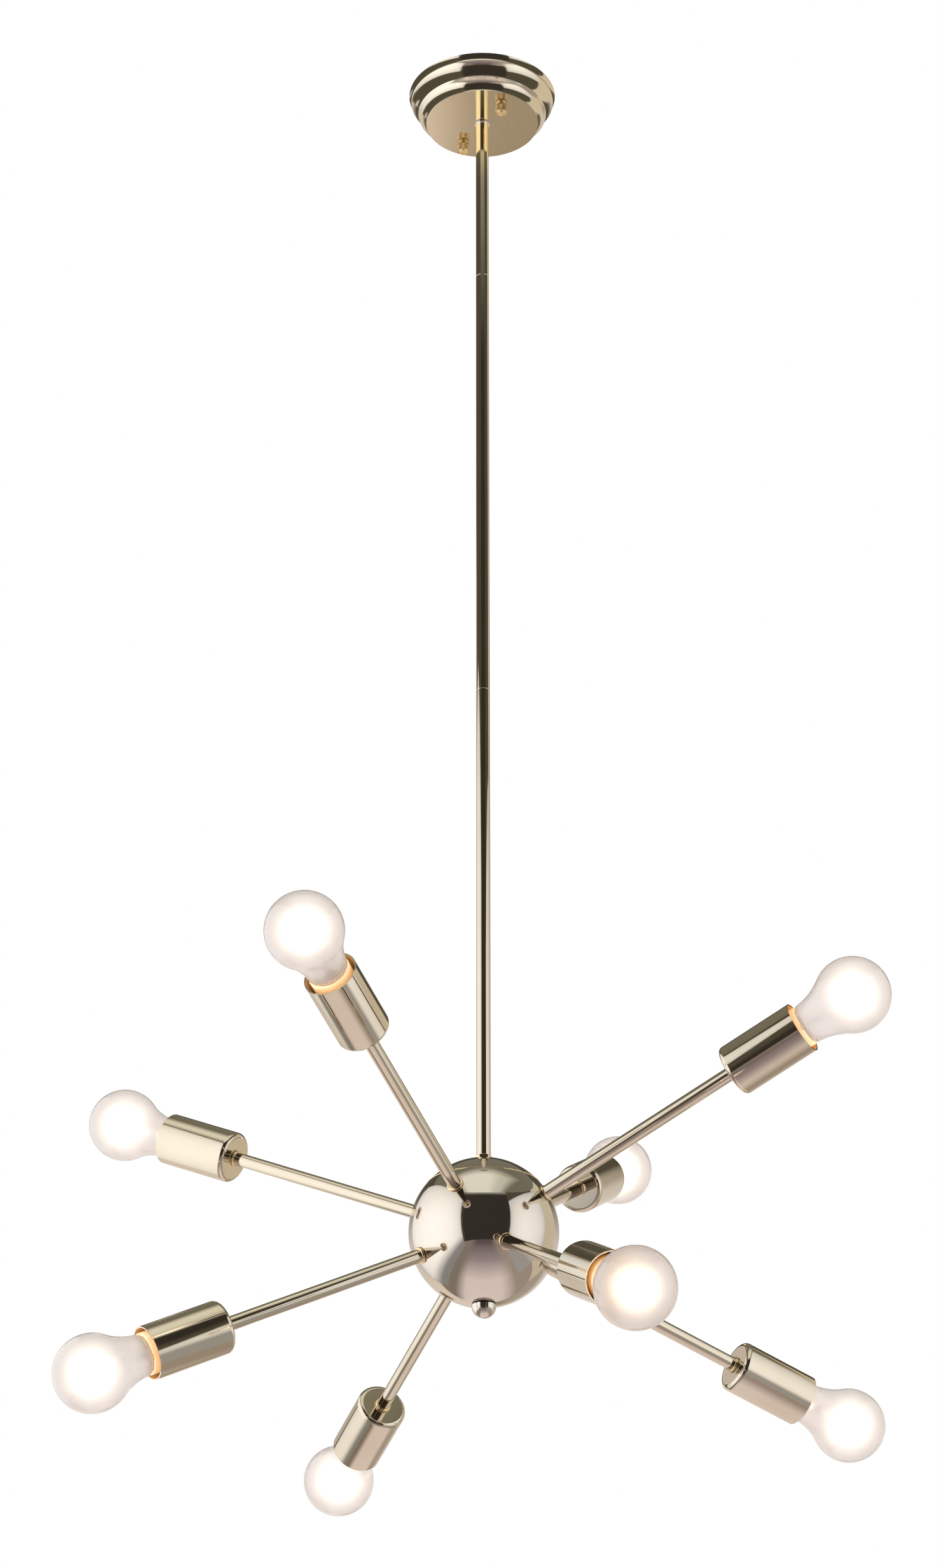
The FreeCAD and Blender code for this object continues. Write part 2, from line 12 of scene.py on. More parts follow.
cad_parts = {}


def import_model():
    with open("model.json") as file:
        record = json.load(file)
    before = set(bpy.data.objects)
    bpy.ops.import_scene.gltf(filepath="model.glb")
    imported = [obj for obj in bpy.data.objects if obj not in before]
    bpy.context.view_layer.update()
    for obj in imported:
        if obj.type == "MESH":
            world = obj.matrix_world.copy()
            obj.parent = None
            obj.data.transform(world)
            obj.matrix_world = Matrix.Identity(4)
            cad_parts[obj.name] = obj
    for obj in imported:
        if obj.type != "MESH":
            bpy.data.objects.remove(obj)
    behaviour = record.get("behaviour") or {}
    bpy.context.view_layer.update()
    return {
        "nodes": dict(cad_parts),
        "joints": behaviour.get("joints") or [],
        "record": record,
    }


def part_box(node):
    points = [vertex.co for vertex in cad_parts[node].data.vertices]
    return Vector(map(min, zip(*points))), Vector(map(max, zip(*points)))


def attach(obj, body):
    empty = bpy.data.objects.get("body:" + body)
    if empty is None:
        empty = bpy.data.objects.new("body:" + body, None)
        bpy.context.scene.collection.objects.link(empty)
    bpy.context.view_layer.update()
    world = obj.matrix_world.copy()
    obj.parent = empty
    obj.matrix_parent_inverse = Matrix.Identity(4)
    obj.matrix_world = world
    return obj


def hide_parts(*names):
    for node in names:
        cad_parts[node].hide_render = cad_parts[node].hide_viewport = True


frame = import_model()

NODES = frame["nodes"]
MM = 0.001
FULL_TURN = 360

# ---------------------------------------------------------------- places worked out from the frame

ARM_COUNT = 8
ARMS = range(1, ARM_COUNT + 1)
CAP_NUTS = (1, 2)
AIMS = {joint["name"]: Vector(joint["axis"]).normalized() for joint in frame["joints"]}
BALL = Vector((0, 0, (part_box("ball_cap")[1].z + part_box("ball_shell")[0].z) / 2))


def link(shown):
    bpy.context.scene.collection.objects.link(shown)
    return shown


# ---------------------------------------------------------------- camera

CAMERA_FROM_BALL = Vector((-0.0094, -2.7009, -0.8859))
CAMERA_PITCH = math.radians(25.37)
CAMERA_REACH = 100
PHOTO_HEIGHT_PX = 2465
CAMERA_FOCAL_PX = 5574.4
SENSOR_HEIGHT = 24.0


def camera():
    data = bpy.data.cameras.new("camera")
    data.sensor_fit = "VERTICAL"
    data.sensor_height = SENSOR_HEIGHT
    data.lens = SENSOR_HEIGHT * CAMERA_FOCAL_PX / PHOTO_HEIGHT_PX
    data.clip_end = CAMERA_REACH
    shown = link(bpy.data.objects.new("camera", data))
    shown.location = BALL + CAMERA_FROM_BALL
    shown.rotation_euler = (math.pi / 2 + CAMERA_PITCH, 0, 0)
    bpy.context.scene.camera = shown


# ---------------------------------------------------------------- white surroundings and floor

WORLD_SHOWN = 1.0
WORLD_FILL = 0.55
FLOOR_Z = -3.2
FLOOR_SIZE = 14.0
FLOOR_COLOUR = (0.80, 0.765, 0.83)
FLOOR_LIFT = 0.5


def node_tree(owner):
    owner.use_nodes = True
    owner.node_tree.nodes.clear()
    return owner.node_tree


def seen(tree):
    """1 where the eye, metal or glass sees something, and 0 where it only lights the lamp."""
    path = tree.nodes.new("ShaderNodeLightPath")
    total = path.outputs["Is Camera Ray"]
    for name in ("Is Glossy Ray", "Is Transmission Ray"):
        either = tree.nodes.new("ShaderNodeMath")
        either.operation = "MAXIMUM"
        tree.links.new(total, either.inputs[0])
        tree.links.new(path.outputs[name], either.inputs[1])
        total = either.outputs[0]
    return total


def background(tree, strength):
    node = tree.nodes.new("ShaderNodeBackground")
    node.inputs["Color"].default_value = (1, 1, 1, 1)
    node.inputs["Strength"].default_value = strength
    return node


def by_sight(tree, unseen, shown):
    """One shader where it only lights the lamp, and another where it is seen."""
    both = tree.nodes.new("ShaderNodeMixShader")
    tree.links.new(seen(tree), both.inputs["Fac"])
    tree.links.new(unseen.outputs[0], both.inputs[1])
    tree.links.new(shown.outputs[0], both.inputs[2])
    return both


def world():
    """White where it is seen, and a soft fill elsewhere."""
    sky = bpy.data.worlds.new("studio")
    bpy.context.scene.world = sky
    tree = node_tree(sky)
    both = by_sight(tree, background(tree, WORLD_FILL), background(tree, WORLD_SHOWN))
    out = tree.nodes.new("ShaderNodeOutputWorld")
    tree.links.new(both.outputs[0], out.inputs["Surface"])


def floor_material():
    material = bpy.data.materials.new("floor")
    tree = node_tree(material)
    plain = tree.nodes.new("ShaderNodeBsdfDiffuse")
    plain.inputs["Color"].default_value = FLOOR_COLOUR + (1,)
    lift = tree.nodes.new("ShaderNodeEmission")
    lift.inputs["Strength"].default_value = FLOOR_LIFT
    lifted = tree.nodes.new("ShaderNodeAddShader")
    tree.links.new(plain.outputs[0], lifted.inputs[0])
    tree.links.new(lift.outputs[0], lifted.inputs[1])
    out = tree.nodes.new("ShaderNodeOutputMaterial")
    tree.links.new(by_sight(tree, plain, lifted).outputs[0], out.inputs["Surface"])
    return material


def floor():
    """A plain floor that looks nearly white."""
    half = FLOOR_SIZE / 2
    corners = [(-half, -half, 0), (half, -half, 0), (half, half, 0), (-half, half, 0)]
    mesh = bpy.data.meshes.new("floor")
    mesh.from_pydata(corners, [], [(0, 1, 2, 3)])
    mesh.materials.append(floor_material())
    shown = link(bpy.data.objects.new("floor", mesh))
    shown.location.z = FLOOR_Z


# ---------------------------------------------------------------- sheets of light that metal mirrors


def ramp(value, start, run):
    """0 up to the start, and rising from there to 1 over the run."""
    return min(max((value - start) / run, 0), 1)


def within(value, limit, fade):
    """1 until the fade before the limit, and falling from there to 0 at the limit."""
    return ramp(-value, -limit, fade)


def blend(low, high, part):
    """A colour between two, by a part from 0 to 1."""
    return tuple(a + (b - a) * part for a, b in zip(low, high))


def only_in_reflections(shown):
    """A studio piece that metal mirrors, and that neither lights the lamp nor hides it."""
    shown.visible_camera = False
    shown.visible_diffuse = False
    shown.visible_transmission = False
    shown.visible_volume_scatter = False
    shown.visible_shadow = False


def glowing(name):
    """A material that glows in the mesh's own colours."""
    material = bpy.data.materials.new(name)
    tree = node_tree(material)
    shades = tree.nodes.new("ShaderNodeAttribute")
    shades.attribute_name = "shade"
    light = tree.nodes.new("ShaderNodeEmission")
    out = tree.nodes.new("ShaderNodeOutputMaterial")
    tree.links.new(shades.outputs["Color"], light.inputs["Color"])
    tree.links.new(light.outputs[0], out.inputs["Surface"])
    return material


def sheet(name, place, shade, columns, rows):
    """A glowing grid that only metal mirrors. place and shade give each corner's point and colour."""
    points, colours, faces = [], [], []
    for i in range(columns + 1):
        for j in range(rows + 1):
            u, v = i / columns, j / rows
            points.append(place(u, v))
            colours += shade(u, v) + (1,)
    for i in range(columns):
        for j in range(rows):
            corner = i * (rows + 1) + j
            faces.append((corner, corner + rows + 1, corner + rows + 2, corner + 1))
    mesh = bpy.data.meshes.new(name)
    mesh.from_pydata(points, [], faces)
    layer = mesh.color_attributes.new("shade", "FLOAT_COLOR", "POINT")
    layer.data.foreach_set("color", colours)
    mesh.materials.append(glowing(name))
    only_in_reflections(link(bpy.data.objects.new(name, mesh)))


# ---------------------------------------------------------------- soft boxes

# Each soft box has a hot middle and dimmer edges, and fades to a dim level below the height dim_z.
# The levels are shares of BOX_COLOUR.
LEFT_BOX = dict(
    centre=(-0.72, -0.12, -1.10),
    size=(1.90, 1.74),
    middle=1.62,
    edge=0.85,
    dim=0.36,
    dim_z=-1.52,
)
RIGHT_BOX = dict(
    centre=(0.86, -0.42, -1.20),
    size=(1.25, 1.80),
    middle=1.38,
    edge=0.75,
    dim=0.48,
    dim_z=-1.40,
)
DIM_FADE = 0.24
BOX_COLOUR = (0.96, 0.98, 1.0)
BOX_LIGHT = 1.5


def area_light(name, centre, size):
    """The light of a soft box, turned towards the lamp."""
    data = bpy.data.lights.new(name, "AREA")
    data.shape = "RECTANGLE"
    data.size, data.size_y = size
    data.energy = BOX_LIGHT * math.pi * size[0] * size[1]
    data.color = BOX_COLOUR
    shown = link(bpy.data.objects.new(name, data))
    shown.location = centre
    facing = Vector((-centre[0], 0, 0))
    shown.rotation_euler = facing.to_track_quat("-Z", "Z").to_euler()
    shown.visible_camera = False
    shown.visible_glossy = False
    shown.visible_transmission = False


def soft_box(name, centre, size, middle, edge, dim, dim_z):
    """A large light beside the lamp: an area light, and the graded face that metal mirrors."""

    def place(u, v):
        return centre[0], centre[1] + (u - 0.5) * size[0], centre[2] + (v - 0.5) * size[1]

    def shade(u, v):
        fall = math.cos(math.pi * (u - 0.5)) * math.cos(math.pi * (v - 0.5))
        level = edge + (middle - edge) * math.sqrt(max(fall, 0))
        level += (dim - level) * within(place(u, v)[2], dim_z, DIM_FADE)
        return tuple(level * part for part in BOX_COLOUR)

    area_light(name, centre, size)
    sheet(name + "_face", place, shade, columns=24, rows=24)


# ---------------------------------------------------------------- room

ROOM_RADIUS = 3.9
ROOM_TOP = 2.8
TAN_WALL = (0.78, 0.71, 0.57)
DARK_WALL = (0.105, 0.095, 0.070)
DARK_FRONT = (0.048, 0.042, 0.037)

# Azimuths of the walls from +X, in degrees: tan, pale backdrop, dark, dark front, dark.
TAN_TO = 45
BACKDROP_TO = 128
FRONT_FROM = 236
FRONT_TO = 308
DARK_TO = 370
WALLS_FROM = DARK_TO - FULL_TURN
WALL_FADE = 4

# A pair named RISE is (start, run) for ramp, and one named FALL is (limit, fade) for within.
FRONT_RISE = (2.25, 1.3)
BACKDROP = (0.80, 0.74, 0.68)
BACKDROP_LOW = (0.97, 0.86, 0.76)
BACKDROP_SHADE = (0.42, 0.35, 0.25)
BACKDROP_DIM = (0.52, 0.47, 0.41)
BACKDROP_MIDDLE = 90
BACKDROP_RISE = (-2.2, 1.2)
BACKDROP_DARK_RISE = (-0.3, 1.4)
DIM_RISE = (-1.8, 0.8)
DIM_FALL = (82, 6)

# A pale panel high behind the lamp, mirrored by the rear of the lower right cup.
PANEL = (0.75, 0.70, 0.66)
PANEL_AZIMUTH = 131
PANEL_HEIGHT = 1.24
PANEL_ACROSS_FALL = (6, 1)
PANEL_UPRIGHT_FALL = (0.5, 0.1)

CEILING = (1.05, 1.06, 0.96)
CEILING_BACK = (0.24, 0.23, 0.18)
CEILING_RIGHT = (0.76, 0.78, 0.68)
CEILING_SIDE_FALL = (2.5, 0.8)
CEILING_FRONT_FALL = (0.6, 1.2)
CEILING_RIGHT_RISE = (0.5, 0.8)

PAPER_LIFT = 0.01
PAPER_HALF_WIDTH = 0.75
PAPER_FRONT = (0.15, 0.125, 0.135)
PAPER_MIDDLE = (0.42, 0.36, 0.40)
PAPER_BACK = (0.96, 0.87, 0.87)
BESIDE_PAPER_LEFT = (0.31, 0.27, 0.24)
BESIDE_PAPER_RIGHT = (0.47, 0.41, 0.36)
PAPER_MIDDLE_RISE = (-3.2, 2.0)
PAPER_BACK_RISE = (-1.2, 1.4)
LEFT_OF_PAPER_RISE = (PAPER_HALF_WIDTH, 0.5)
RIGHT_OF_PAPER_RISE = (PAPER_HALF_WIDTH, 0.8)


def backdrop_shade(azimuth, height):
    """Pale behind the lamp, dimmer low on the right, and dark towards the ceiling."""
    colour = blend(BACKDROP_LOW, BACKDROP, ramp(height, *BACKDROP_RISE))
    if azimuth <= BACKDROP_MIDDLE:
        dim = blend(BACKDROP_DIM, colour, ramp(height, *DIM_RISE))
        shaded = blend(BACKDROP_SHADE, colour, ramp(height, *BACKDROP_RISE))
        colour = blend(shaded, dim, within(azimuth, *DIM_FALL))
    return blend(colour, DARK_WALL, ramp(height, *BACKDROP_DARK_RISE))


def wall_shade(azimuth, height):
    walls = (
        (TAN_TO, backdrop_shade(azimuth, height)),
        (BACKDROP_TO, DARK_WALL),
        (FRONT_FROM, blend(DARK_FRONT, CEILING, ramp(height, *FRONT_RISE))),
        (FRONT_TO, DARK_WALL),
    )
    colour = TAN_WALL
    for start, wall in walls:
        colour = blend(colour, wall, ramp(azimuth, start, WALL_FADE))
    across = within(abs(azimuth - PANEL_AZIMUTH), *PANEL_ACROSS_FALL)
    upright = within(abs(height - PANEL_HEIGHT), *PANEL_UPRIGHT_FALL)
    return blend(colour, PANEL, min(across, upright))


def room():
    """Dark walls beside and behind the camera, a tan one on the right and a pale backdrop."""

    def azimuth_and_height(u, v):
        return WALLS_FROM + FULL_TURN * u, FLOOR_Z + (ROOM_TOP - FLOOR_Z) * v

    def place(u, v):
        azimuth, height = azimuth_and_height(u, v)
        turn = math.radians(azimuth)
        return ROOM_RADIUS * math.cos(turn), ROOM_RADIUS * math.sin(turn), height

    def shade(u, v):
        return wall_shade(*azimuth_and_height(u, v))

    sheet("room", place, shade, columns=180, rows=40)


def level_sheet(name, height, shade_at, cells):
    """A square sheet over the whole room at one height. shade_at gives the colour at (x, y)."""

    def place(u, v):
        return (2 * u - 1) * ROOM_RADIUS, (2 * v - 1) * ROOM_RADIUS, height

    def shade(u, v):
        x, y, _ = place(u, v)
        return shade_at(x, y)

    sheet(name, place, shade, columns=cells, rows=cells)


def ceiling_shade(x, y):
    """Cream in front of the lamp, and darker beside and behind it."""
    cream = blend(CEILING, CEILING_RIGHT, ramp(x, *CEILING_RIGHT_RISE))
    part = min(within(abs(x), *CEILING_SIDE_FALL), within(y, *CEILING_FRONT_FALL))
    return blend(CEILING_BACK, cream, part)


def paper_shade(x, y):
    """What metal sees of the floor: mauve towards the camera, and paler below and behind the lamp."""
    near = blend(PAPER_FRONT, PAPER_MIDDLE, ramp(y, *PAPER_MIDDLE_RISE))
    strip = blend(near, PAPER_BACK, ramp(y, *PAPER_BACK_RISE))
    strip = blend(strip, BESIDE_PAPER_LEFT, ramp(-x, *LEFT_OF_PAPER_RISE))
    return blend(strip, BESIDE_PAPER_RIGHT, ramp(x, *RIGHT_OF_PAPER_RISE))


def studio():
    world()
    floor()
    soft_box("left_soft_box", **LEFT_BOX)
    soft_box("right_soft_box", **RIGHT_BOX)
    room()
    level_sheet("ceiling", ROOM_TOP, ceiling_shade, cells=40)
    level_sheet("paper", FLOOR_Z + PAPER_LIFT, paper_shade, cells=60)


# ---------------------------------------------------------------- shader tools

# Noise mostly stays between these two values.
NOISE_LOW = 0.3
NOISE_HIGH = 0.7


def principled(name, colour=None, roughness=0.5, metallic=0.0):
    """A material with a Principled shader, and its node tree and shader."""
    material = bpy.data.materials.new(name)
    tree = node_tree(material)
    shader = tree.nodes.new("ShaderNodeBsdfPrincipled")
    out = tree.nodes.new("ShaderNodeOutputMaterial")
    tree.links.new(shader.outputs[0], out.inputs["Surface"])
    shader.inputs["Roughness"].default_value = roughness
    shader.inputs["Metallic"].default_value = metallic
    if colour:
        shader.inputs["Base Color"].default_value = colour + (1,)
    return material, tree, shader


def position(tree):
    """Coordinates in metres that stay with the piece."""
    return tree.nodes.new("ShaderNodeTexCoord").outputs["Object"]


def noise(tree, where, cells, detail=2.0, stretch=None):
    """Noise with this many cells a metre, drawn out along the axes by stretch."""
    if stretch:
        mapping = tree.nodes.new("ShaderNodeMapping")
        mapping.inputs["Scale"].default_value = stretch
        tree.links.new(where, mapping.inputs["Vector"])
        where = mapping.outputs[0]
    texture = tree.nodes.new("ShaderNodeTexNoise")
    texture.inputs["Scale"].default_value = cells
    texture.inputs["Detail"].default_value = detail
    tree.links.new(where, texture.inputs["Vector"])
    return texture.outputs["Fac"]


def spread(tree, value, low, high, start=NOISE_LOW, end=NOISE_HIGH):
    """Moves a value that runs from start to end to the range from low to high."""
    node = tree.nodes.new("ShaderNodeMapRange")
    for name, number in zip(("From Min", "From Max", "To Min", "To Max"), (start, end, low, high)):
        node.inputs[name].default_value = number
    tree.links.new(value, node.inputs["Value"])
    return node.outputs[0]


def clouds(tree, where, cells, detail=3):
    """Noise spread out to run from 0 to 1."""
    return spread(tree, noise(tree, where, cells, detail), 0, 1)


def vary(tree, shader, name, value, low, high, start=NOISE_LOW, end=NOISE_HIGH):
    """Moves one of a shader's numbers from low to high with a value that runs from start to end."""
    tree.links.new(spread(tree, value, low, high, start, end), shader.inputs[name])


def mixed_colour(tree, shader, factor):
    """Feeds a shader's colour from a mix of two, by a factor from 0 to 1."""
    mix = tree.nodes.new("ShaderNodeMix")
    mix.data_type = "RGBA"
    tree.links.new(factor, mix.inputs["Factor"])
    tree.links.new(mix.outputs["Result"], shader.inputs["Base Color"])
    return mix


def tones(tree, shader, factor, low, high):
    """Colours a shader between two tones."""
    mix = mixed_colour(tree, shader, factor)
    mix.inputs["A"].default_value = low + (1,)
    mix.inputs["B"].default_value = high + (1,)


def bump(tree, shader, height, strength, distance):
    node = tree.nodes.new("ShaderNodeBump")
    node.inputs["Strength"].default_value = strength
    node.inputs["Distance"].default_value = distance
    tree.links.new(height, node.inputs["Height"])
    tree.links.new(node.outputs[0], shader.inputs["Normal"])


def axis_radius(tree, where):
    """Distance from the piece's Z axis."""
    flat = tree.nodes.new("ShaderNodeVectorMath")
    flat.operation = "MULTIPLY"
    flat.inputs[1].default_value = (1, 1, 0)
    tree.links.new(where, flat.inputs[0])
    length = tree.nodes.new("ShaderNodeVectorMath")
    length.operation = "LENGTH"
    tree.links.new(flat.outputs[0], length.inputs[0])
    return length.outputs["Value"]


def height_of(tree, where):
    split = tree.nodes.new("ShaderNodeSeparateXYZ")
    tree.links.new(where, split.inputs[0])
    return split.outputs["Z"]


# ---------------------------------------------------------------- metals

# How much each channel darkens where polished metal clouds over.
POLISH_CLOUD = (0.95, 0.93, 0.90)
SPUN_CLOUD = (0.94, 0.94, 0.94)
STEEL_SPANGLE = (0.8, 0.8, 0.8)


def darkened(colour, shares):
    return tuple(part * share for part, share in zip(colour, shares))


def polished(name, colour, roughness=0.055, haze=0.05, grain=None):
    """Plated and polished metal: faint clouds in its colour, handling haze and the finest of scratches."""
    material, tree, shader = principled(name, metallic=1.0)
    where = position(tree)
    tones(tree, shader, clouds(tree, where, cells=22), darkened(colour, POLISH_CLOUD), colour)
    smears = noise(tree, where, cells=60, detail=5, stretch=grain)
    hazy = roughness + haze
    vary(tree, shader, "Roughness", smears, low=roughness, high=hazy, start=0.42, end=0.72)
    scratches = noise(tree, where, cells=900, stretch=grain)
    bump(tree, shader, scratches, strength=0.06, distance=0.04 * MM)
    return material


def deeper_near_top(material, deeper, low, high):
    """Turns a polished look deeper-toned between two heights and above them."""
    tree = material.node_tree
    shader = tree.nodes["Principled BSDF"]
    plain = shader.inputs["Base Color"].links[0].from_socket
    rise = spread(tree, height_of(tree, position(tree)), 0, 1, low, high)
    mix = mixed_colour(tree, shader, rise)
    tree.links.new(plain, mix.inputs["A"])
    mix.inputs["B"].default_value = deeper + (1,)
    return material


def spun(name, colour):
    """Polished metal with the fine rings that spinning leaves."""
    material, tree, shader = principled(name, metallic=1.0)
    where = position(tree)
    tones(tree, shader, clouds(tree, where, cells=16), darkened(colour, SPUN_CLOUD), colour)
    rings = tree.nodes.new("ShaderNodeTexNoise")
    rings.noise_dimensions = "1D"
    rings.inputs["Scale"].default_value = 1400
    rings.inputs["Detail"].default_value = 3
    tree.links.new(axis_radius(tree, where), rings.inputs["W"])
    vary(tree, shader, "Roughness", rings.outputs["Fac"], low=0.06, high=0.13)
    bump(tree, shader, rings.outputs["Fac"], strength=0.10, distance=0.03 * MM)
    return material


def knurled(name, colour, dust):
    """Satin metal with dust in its flutes."""
    material, tree, shader = principled(name, metallic=1.0)
    where = position(tree)
    specks = noise(tree, where, cells=700, detail=4)
    tones(tree, shader, spread(tree, specks, 0, 1), dust, colour)
    vary(tree, shader, "Roughness", noise(tree, where, cells=260, detail=3), low=0.42, high=0.50)
    bump(tree, shader, specks, strength=0.10, distance=0.08 * MM)
    return material


def plated_steel(name, colour):
    """Dull plated metal with a fine spangle."""
    material, tree, shader = principled(name, metallic=1.0)
    where = position(tree)
    spangle = tree.nodes.new("ShaderNodeTexVoronoi")
    spangle.inputs["Scale"].default_value = 320
    tree.links.new(where, spangle.inputs["Vector"])
    tones(tree, shader, spangle.outputs["Distance"], colour, darkened(colour, STEEL_SPANGLE))
    vary(tree, shader, "Roughness", noise(tree, where, cells=150, detail=4), low=0.30, high=0.45)
    bump(tree, shader, noise(tree, where, cells=1500), strength=0.12, distance=0.03 * MM)
    return material


SOLDER_DULL = (0.40, 0.40, 0.40)
SOLDER_BRIGHT = (0.72, 0.72, 0.70)


def solder():
    material, tree, shader = principled("solder", metallic=1.0)
    where = position(tree)
    dull = noise(tree, where, cells=600, detail=4)
    tones(tree, shader, dull, SOLDER_DULL, SOLDER_BRIGHT)
    vary(tree, shader, "Roughness", dull, low=0.25, high=0.50)
    bump(tree, shader, noise(tree, where, cells=900, detail=3), strength=0.4, distance=0.1 * MM)
    return material


# The lining's orange gold tones and its glow are painted bulb light; the two tones differ at random.
LINING_SHADE = (0.70, 0.47, 0.24)
LINING_GOLD = (0.80, 0.58, 0.33)
LINING_GLOW = (1.0, 0.47, 0.15)
LINING_GLOW_DEEP = 0.03
LINING_GLOW_MOUTH = 0.30
LINING_LIT_DEPTH = 16 * MM


def bulb_glow_lining():
    """Painted bulb light: orange gold that glows at the mouth, the painted glow fading with depth. The
    piece's Z is 0 at the mouth.
    """
    material, tree, shader = principled("bulb_glow_lining", metallic=1.0)
    where = position(tree)
    tones(tree, shader, clouds(tree, where, cells=150), LINING_SHADE, LINING_GOLD)
    vary(tree, shader, "Roughness", noise(tree, where, cells=400, detail=3), low=0.18, high=0.30)
    shader.inputs["Emission Color"].default_value = LINING_GLOW + (1,)
    height = height_of(tree, where)
    dark, lit = LINING_GLOW_DEEP, LINING_GLOW_MOUTH
    vary(tree, shader, "Emission Strength", height, low=dark, high=lit, start=-LINING_LIT_DEPTH, end=0)
    return material


# ---------------------------------------------------------------- paint, ceramic and glass

PAINT_WEAR = (0.45, 0.45, 0.42)


def painted(name, colour):
    """Paint with worn spots."""
    material, tree, shader = principled(name, roughness=0.35)
    where = position(tree)
    worn = spread(tree, noise(tree, where, cells=500, detail=4), 0, 1, start=0.55, end=0.75)
    tones(tree, shader, worn, colour, PAINT_WEAR)
    bump(tree, shader, noise(tree, where, cells=900), strength=0.2, distance=0.04 * MM)
    return material


CERAMIC = (0.93, 0.83, 0.66)
CERAMIC_DEEP = (0.90, 0.74, 0.50)
# The glow and its fade below the rim are painted bulb light.
CERAMIC_GLOW = (1.0, 0.52, 0.16)
CERAMIC_GLOW_RIM = 0.55
CERAMIC_LIT_DEPTH = 12 * MM
CERAMIC_SCATTER = (4 * MM, 2 * MM, 1 * MM)


def glazed_ceramic(rim):
    """Cream porcelain with a painted orange glow near its rim, standing in for the bulb's light through
    it. The rim is this far from the ball's centre.
    """
    material, tree, shader = principled("glazed_ceramic", roughness=0.28)
    where = position(tree)
    tones(tree, shader, clouds(tree, where, cells=120), CERAMIC_DEEP, CERAMIC)
    shader.inputs["Coat Weight"].default_value = 0.35
    shader.inputs["Coat Roughness"].default_value = 0.12
    shader.inputs["Subsurface Weight"].default_value = 0.25
    shader.inputs["Subsurface Radius"].default_value = CERAMIC_SCATTER
    shader.inputs["Emission Color"].default_value = CERAMIC_GLOW + (1,)
    from_ball = tree.nodes.new("ShaderNodeVectorMath")
    from_ball.operation = "DISTANCE"
    from_ball.inputs[1].default_value = BALL
    tree.links.new(where, from_ball.inputs[0])
    distance = from_ball.outputs["Value"]
    unlit = rim - CERAMIC_LIT_DEPTH
    vary(tree, shader, "Emission Strength", distance, low=0, high=CERAMIC_GLOW_RIM, start=unlit, end=rim)
    bump(tree, shader, noise(tree, where, cells=400), strength=0.15, distance=0.08 * MM)
    return material


GLASS_TINT = (0.985, 0.98, 0.98)
FROST_TINT = (0.865, 0.83, 0.815)
GLASS_GLOW = (1.0, 0.76, 0.58)
GLASS_INDEX = 1.45
FROST_LEAST = 0.85
FROST_MOST = 1.1


def bulb_glass_material(name, tint, roughness, glow):
    """Bulb glass, a little uneven in its frosting, that may glow from the light it holds."""
    material, tree, shader = principled(name, tint)
    where = position(tree)
    shader.inputs["Transmission Weight"].default_value = 1.0
    shader.inputs["IOR"].default_value = GLASS_INDEX
    shader.inputs["Emission Color"].default_value = GLASS_GLOW + (1,)
    shader.inputs["Emission Strength"].default_value = glow
    frost = noise(tree, where, cells=500, detail=4)
    smooth, rough = roughness * FROST_LEAST, roughness * FROST_MOST
    vary(tree, shader, "Roughness", frost, low=smooth, high=rough)
    return material


FILAMENT = (0.9, 0.6, 0.3)
FILAMENT_GLOW = (1.0, 0.72, 0.38)


def filament_material():
    material, tree, shader = principled("filament", FILAMENT, roughness=0.4, metallic=1.0)
    shader.inputs["Emission Color"].default_value = FILAMENT_GLOW + (1,)
    flicker = noise(tree, position(tree), cells=300)
    vary(tree, shader, "Emission Strength", flicker, low=7, high=10)
    return material


CEMENT_DEEP = (0.62, 0.50, 0.38)
CEMENT_PALE = (0.76, 0.66, 0.54)


def base_cement():
    """The pale cement that holds a bulb in its base."""
    material, tree, shader = principled("base_cement", roughness=0.85)
    where = position(tree)
    tones(tree, shader, clouds(tree, where, cells=900, detail=4), CEMENT_DEEP, CEMENT_PALE)
    bump(tree, shader, noise(tree, where, cells=1500, detail=3), strength=0.4, distance=0.1 * MM)
    return material


BLACK_GLASS_DEEP = (0.010, 0.010, 0.012)
BLACK_GLASS_PALE = (0.03, 0.025, 0.03)


def black_glass():
    material, tree, shader = principled("black_glass", roughness=0.15)
    tones(tree, shader, clouds(tree, position(tree), cells=400), BLACK_GLASS_DEEP, BLACK_GLASS_PALE)
    shader.inputs["Coat Weight"].default_value = 0.5
    return material


# ---------------------------------------------------------------- mesh tools

CREASE = math.radians(40)
ON_AXIS = 1e-7


def arc(centre, radius, start, end, steps):
    """Points of an arc in the (radius, height) plane, angles in degrees."""
    points = []
    for i in range(steps + 1):
        turn = math.radians(start + (end - start) * i / steps)
        points.append((centre[0] + radius * math.cos(turn), centre[1] + radius * math.sin(turn)))
    return points


def solid(name, points, faces, materials, slots=None):
    """A mesh object with smooth faces and sharp creases. slots gives each face's material."""
    mesh = bpy.data.meshes.new(name)
    mesh.from_pydata(points, [], faces)
    mesh.validate()
    for material in materials:
        mesh.materials.append(material)
    if slots:
        mesh.polygons.foreach_set("material_index", slots)
    mesh.polygons.foreach_set("use_smooth", [True] * len(mesh.polygons))
    mesh.set_sharp_from_angle(angle=CREASE)
    return link(bpy.data.objects.new(name, mesh))


